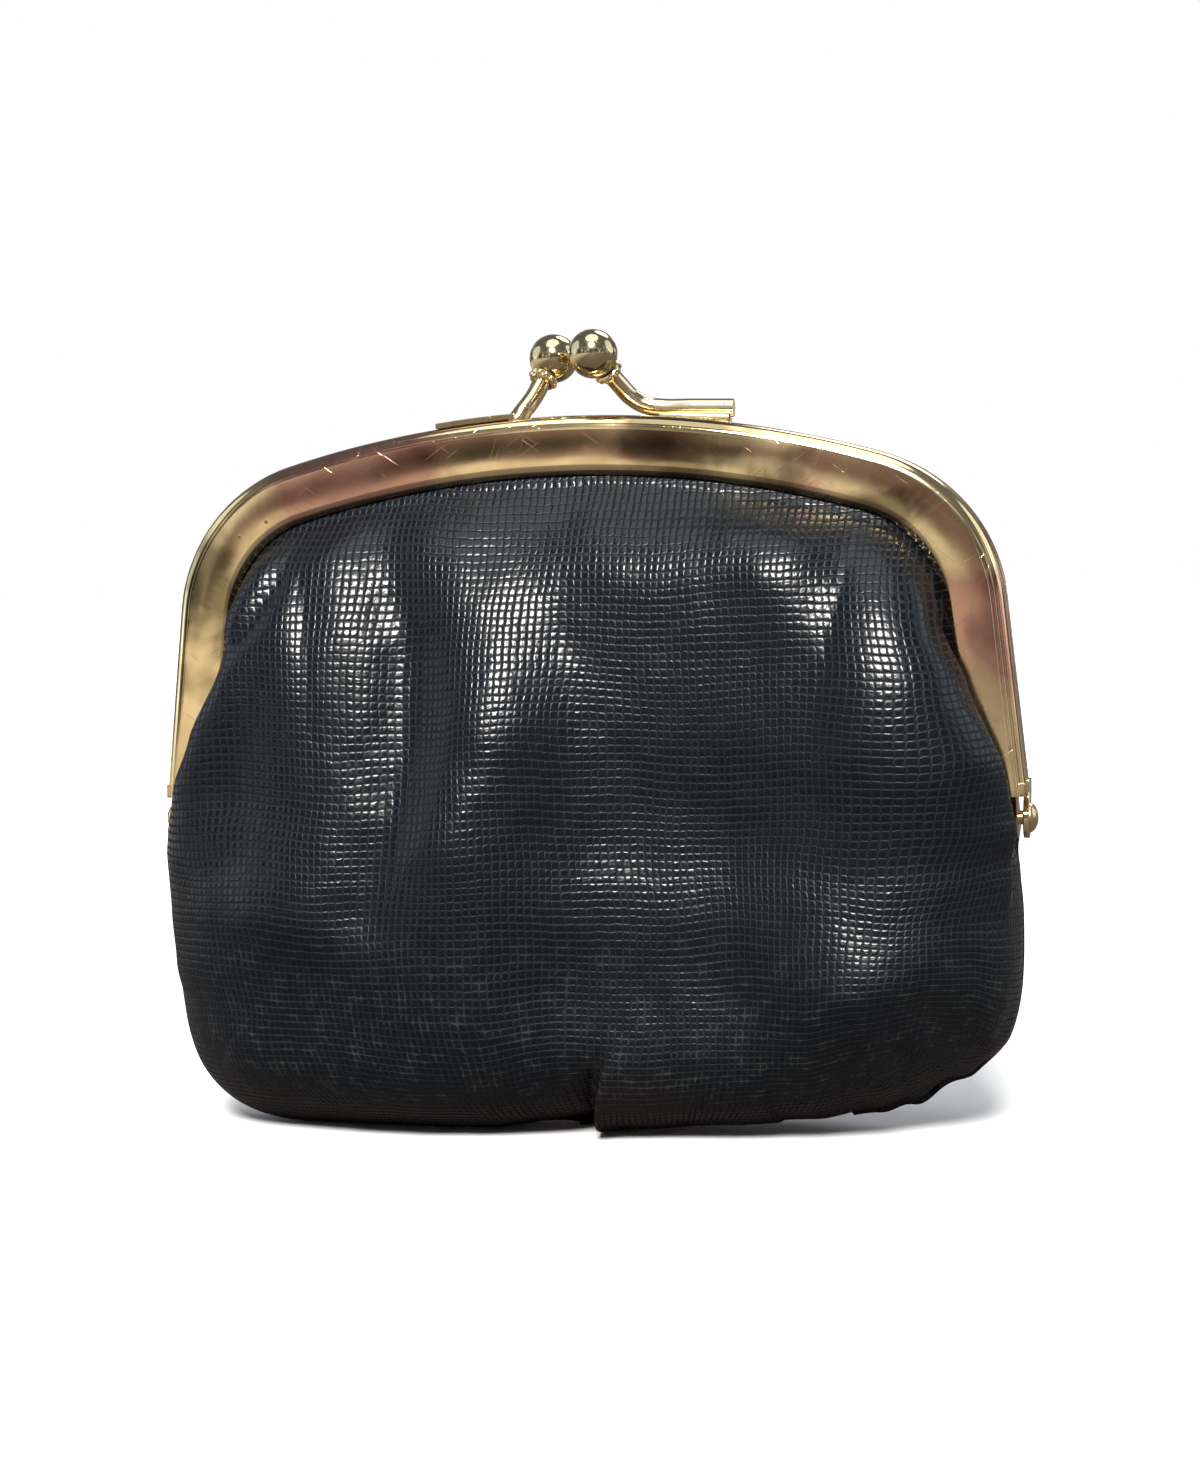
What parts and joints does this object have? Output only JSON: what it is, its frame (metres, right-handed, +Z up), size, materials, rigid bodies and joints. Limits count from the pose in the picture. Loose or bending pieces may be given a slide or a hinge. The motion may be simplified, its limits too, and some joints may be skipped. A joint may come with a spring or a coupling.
{
  "type": "coin purse",
  "caption": "Soft rounded leather coin purse on a hinged two-part metal frame that snaps shut with a crossed-ball clasp.",
  "frame": {"origin": "centre of the flat patch that the purse stands on", "axes": "+Z up, towards the clasp; -Y to the front; +X along the hinge axis, to the right seen from the front"},
  "size_m": [0.1024, 0.038, 0.0917],
  "materials": {
    "leather": "glossy crosshatched grain, very dark navy",
    "lining": "thin plain-weave cloth",
    "thread": "waxed thread",
    "gold_metal": "polished pale-gold plate, lightly scratched",
    "paper_cord": "twisted paper packing cord"
  },
  "bodies": {
    "pouch": {"front_leather_lower": "leather", "rear_leather_lower": "leather", "front_lining_lower": "lining", "rear_lining_lower": "lining", "seam_stitches": "thread", "left_hinge_rivet": "gold_metal", "right_hinge_rivet": "gold_metal"},
    "front_half": {"front_frame": "gold_metal", "front_leather_upper": "leather", "front_lining_upper": "lining", "front_retaining_cord": "paper_cord", "front_clasp_stem": "gold_metal", "front_clasp_collar": "gold_metal", "front_clasp_ball": "gold_metal"},
    "rear_half": {"rear_frame": "gold_metal", "rear_leather_upper": "leather", "rear_lining_upper": "lining", "rear_retaining_cord": "paper_cord", "rear_clasp_stem": "gold_metal", "rear_clasp_collar": "gold_metal", "rear_clasp_ball": "gold_metal"}
  },
  "joints": [
    {"name": "front_half_hinge", "type": "hinge", "parent": "pouch", "child": "front_half", "pos_m": [0, 0, 0.036], "axis": [1, 0, 0], "range_deg": [0, 45]},
    {"name": "rear_half_hinge", "type": "hinge", "parent": "pouch", "child": "rear_half", "pos_m": [0, 0, 0.036], "axis": [1, 0, 0], "range_deg": [-45, 0]}
  ],
  "couplings": [
    {"joint": "rear_half_hinge", "follows": "front_half_hinge", "ratio": -1}
  ]
}
